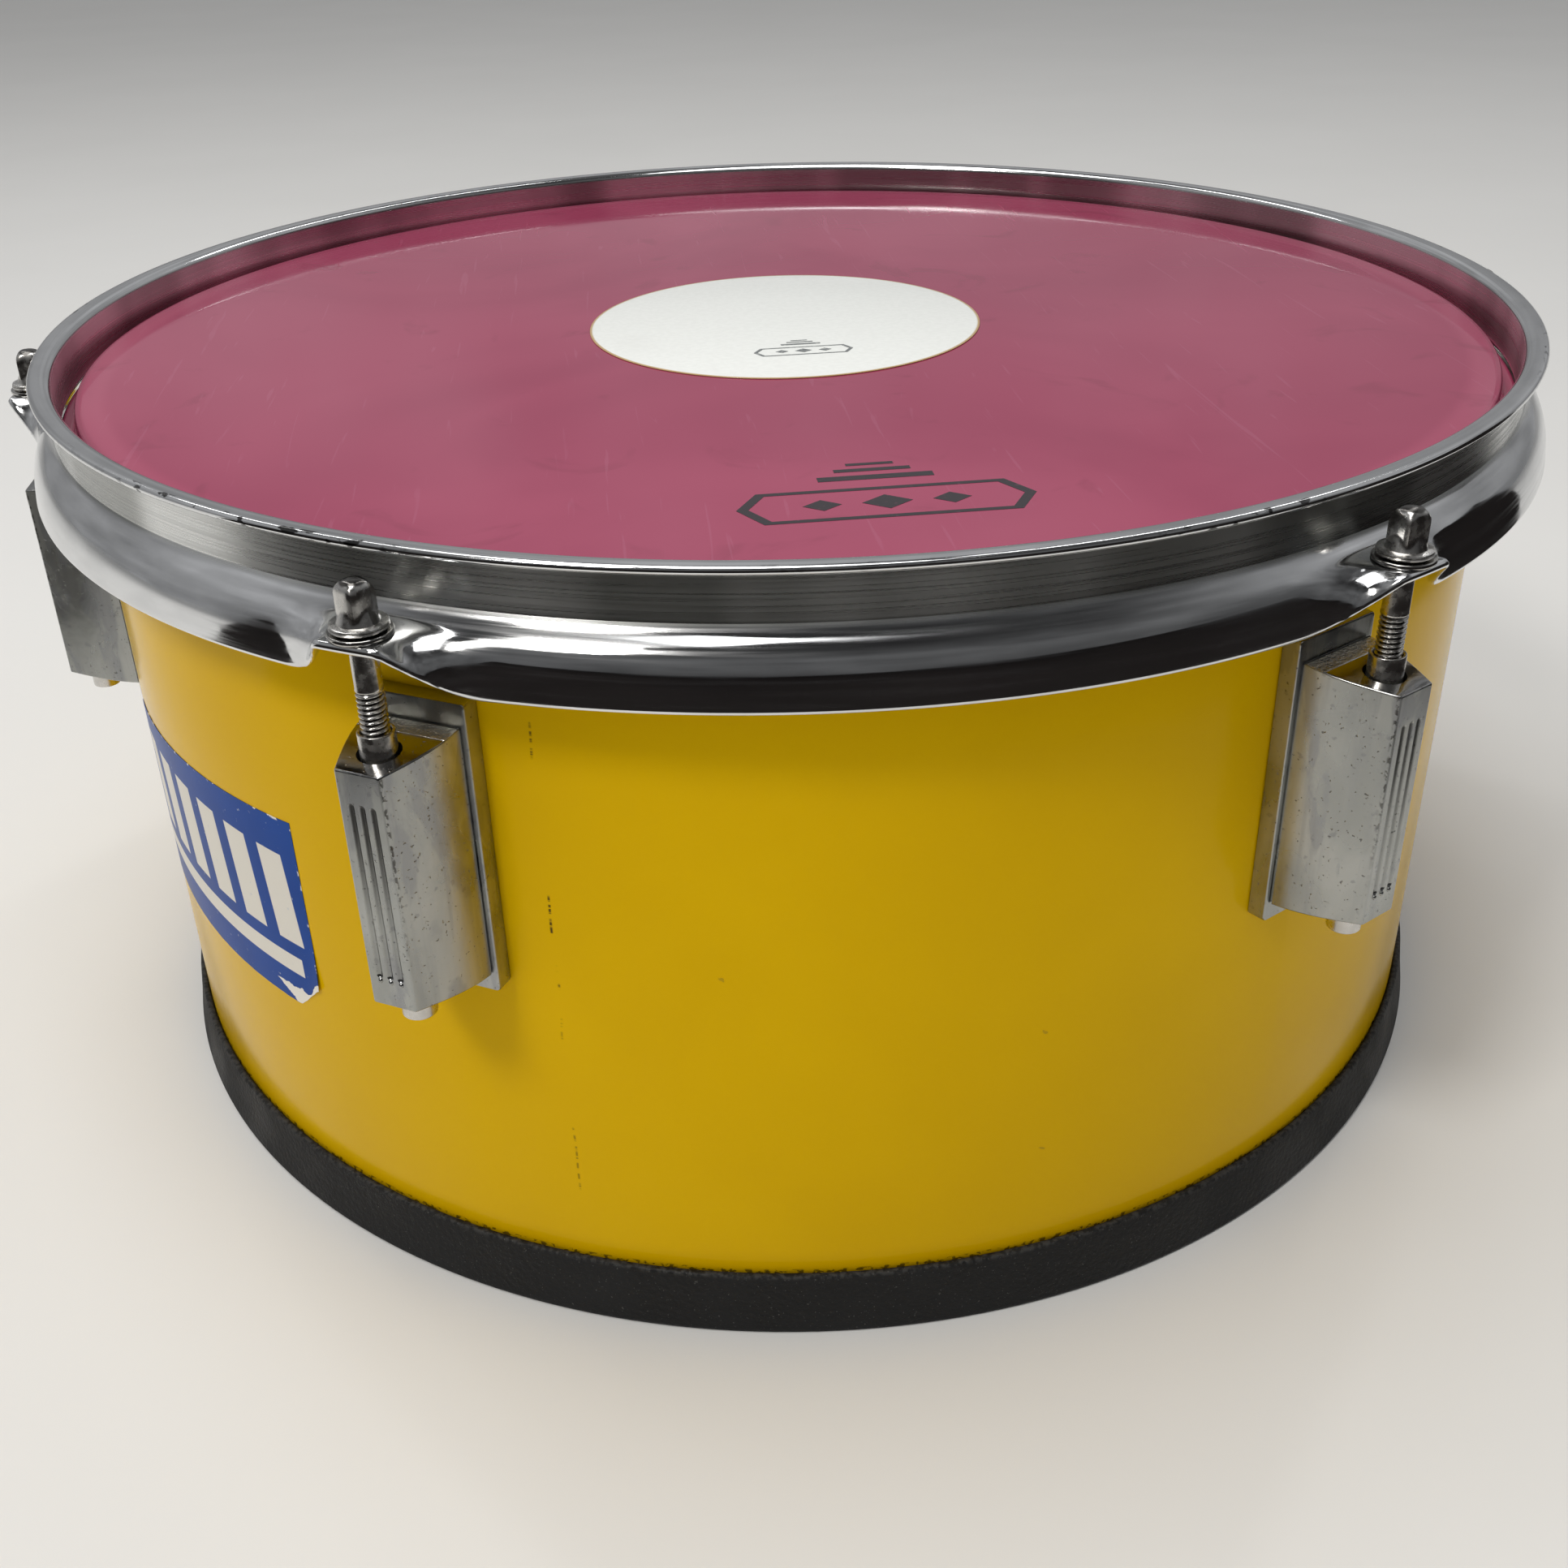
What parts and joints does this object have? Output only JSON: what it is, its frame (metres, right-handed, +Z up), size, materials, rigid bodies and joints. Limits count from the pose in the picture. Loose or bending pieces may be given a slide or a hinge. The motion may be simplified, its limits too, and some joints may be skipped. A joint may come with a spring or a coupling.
{
  "type": "tom tom drum",
  "caption": "Shallow open-bottomed tom tom drum: glossy shell, tensioned head under a flanged metal hoop, side lugs with threaded rods, rubber rim to stand on.",
  "frame": {"origin": "on the drum's axis at the floor, under the rubber rim", "axes": "+Z up along the drum's axis; the two front lugs stand 30 degrees each side of -Y, and two lugs lie on the X axis"},
  "size_m": [0.4024, 0.3816, 0.188],
  "materials": {
    "lacquered_ply": "gloss yellow lacquer wrap over ply, fine speckle, nicked along one seam",
    "black_rubber": "matte black, lightly specked",
    "head_film": "very glossy magenta coated film",
    "patch_film": "off-white satin disc with a worn edge",
    "flesh_aluminium": "plain drawn aluminium",
    "hoop_chrome": "polished chrome, brushed on the wall, small chips on the rim",
    "label_print": "printed blue label with plain shapes, torn at one corner",
    "lug_chrome": "dull pitted chrome on a die casting",
    "plated_brass": "nickel-plated",
    "spring_steel": "plain drawn wire",
    "rod_plate": "dark nickel-chrome plate",
    "screw_plate": "zinc-nickel plate"
  },
  "bodies": {
    "drum_shell": {"shell": "lacquered_ply", "rubber_rim": "black_rubber", "shell_sticker": "label_print", "lug_1": "lug_chrome", "swivel_nut_1": "plated_brass", "lower_nut_1": "plated_brass", "nut_spring_1": "spring_steel", "lug_screw_low_1": "screw_plate", "lug_screw_high_1": "screw_plate", "lug_2": "lug_chrome", "swivel_nut_2": "plated_brass", "lower_nut_2": "plated_brass", "nut_spring_2": "spring_steel", "lug_screw_low_2": "screw_plate", "lug_screw_high_2": "screw_plate", "lug_3": "lug_chrome", "swivel_nut_3": "plated_brass", "lower_nut_3": "plated_brass", "nut_spring_3": "spring_steel", "lug_screw_low_3": "screw_plate", "lug_screw_high_3": "screw_plate", "lug_4": "lug_chrome", "swivel_nut_4": "plated_brass", "lower_nut_4": "plated_brass", "nut_spring_4": "spring_steel", "lug_screw_low_4": "screw_plate", "lug_screw_high_4": "screw_plate", "lug_5": "lug_chrome", "swivel_nut_5": "plated_brass", "lower_nut_5": "plated_brass", "nut_spring_5": "spring_steel", "lug_screw_low_5": "screw_plate", "lug_screw_high_5": "screw_plate", "lug_6": "lug_chrome", "swivel_nut_6": "plated_brass", "lower_nut_6": "plated_brass", "nut_spring_6": "spring_steel", "lug_screw_low_6": "screw_plate", "lug_screw_high_6": "screw_plate"},
    "drum_head": {"head_film": "head_film", "head_collar": "head_film", "centre_patch": "patch_film", "flesh_hoop": "flesh_aluminium"},
    "hoop": {"counter_hoop": "hoop_chrome"},
    "washer_1": {"rod_washer_1": "rod_plate"},
    "rod_1": {"tension_rod_1": "rod_plate"},
    "washer_2": {"rod_washer_2": "rod_plate"},
    "rod_2": {"tension_rod_2": "rod_plate"},
    "washer_3": {"rod_washer_3": "rod_plate"},
    "rod_3": {"tension_rod_3": "rod_plate"},
    "washer_4": {"rod_washer_4": "rod_plate"},
    "rod_4": {"tension_rod_4": "rod_plate"},
    "washer_5": {"rod_washer_5": "rod_plate"},
    "rod_5": {"tension_rod_5": "rod_plate"},
    "washer_6": {"rod_washer_6": "rod_plate"},
    "rod_6": {"tension_rod_6": "rod_plate"}
  },
  "joints": [
    {"name": "head_lift", "type": "slide", "parent": "drum_shell", "child": "drum_head", "axis": [0, 0, 1], "range_m": [0, 0.06]},
    {"name": "hoop_lift", "type": "slide", "parent": "drum_head", "child": "hoop", "axis": [0, 0, 1], "range_m": [0, 0.06]},
    {"name": "rod_1_travel", "type": "slide", "parent": "hoop", "child": "washer_1", "axis": [0, 0, 1], "range_m": [0, 0.0285]},
    {"name": "rod_1_turn", "type": "hinge", "parent": "washer_1", "child": "rod_1", "pos_m": [-0.0968, -0.16766, 0.1752], "axis": [0, 0, 1], "range_deg": [0, 9720]},
    {"name": "rod_2_travel", "type": "slide", "parent": "hoop", "child": "washer_2", "axis": [0, 0, 1], "range_m": [0, 0.0285]},
    {"name": "rod_2_turn", "type": "hinge", "parent": "washer_2", "child": "rod_2", "pos_m": [0.0968, -0.16766, 0.1752], "axis": [0, 0, 1], "range_deg": [0, 9720]},
    {"name": "rod_3_travel", "type": "slide", "parent": "hoop", "child": "washer_3", "axis": [0, 0, 1], "range_m": [0, 0.0285]},
    {"name": "rod_3_turn", "type": "hinge", "parent": "washer_3", "child": "rod_3", "pos_m": [0.1936, 0, 0.1752], "axis": [0, 0, 1], "range_deg": [0, 9720]},
    {"name": "rod_4_travel", "type": "slide", "parent": "hoop", "child": "washer_4", "axis": [0, 0, 1], "range_m": [0, 0.0285]},
    {"name": "rod_4_turn", "type": "hinge", "parent": "washer_4", "child": "rod_4", "pos_m": [0.0968, 0.16766, 0.1752], "axis": [0, 0, 1], "range_deg": [0, 9720]},
    {"name": "rod_5_travel", "type": "slide", "parent": "hoop", "child": "washer_5", "axis": [0, 0, 1], "range_m": [0, 0.0285]},
    {"name": "rod_5_turn", "type": "hinge", "parent": "washer_5", "child": "rod_5", "pos_m": [-0.0968, 0.16766, 0.1752], "axis": [0, 0, 1], "range_deg": [0, 9720]},
    {"name": "rod_6_travel", "type": "slide", "parent": "hoop", "child": "washer_6", "axis": [0, 0, 1], "range_m": [0, 0.0285]},
    {"name": "rod_6_turn", "type": "hinge", "parent": "washer_6", "child": "rod_6", "pos_m": [-0.1936, 0, 0.1752], "axis": [0, 0, 1], "range_deg": [0, 9720]}
  ],
  "couplings": [
    {"joint": "rod_1_turn", "follows": "rod_1_travel", "rad_per_m": 5936.9},
    {"joint": "rod_2_turn", "follows": "rod_2_travel", "rad_per_m": 5936.9},
    {"joint": "rod_3_turn", "follows": "rod_3_travel", "rad_per_m": 5936.9},
    {"joint": "rod_4_turn", "follows": "rod_4_travel", "rad_per_m": 5936.9},
    {"joint": "rod_5_turn", "follows": "rod_5_travel", "rad_per_m": 5936.9},
    {"joint": "rod_6_turn", "follows": "rod_6_travel", "rad_per_m": 5936.9}
  ]
}
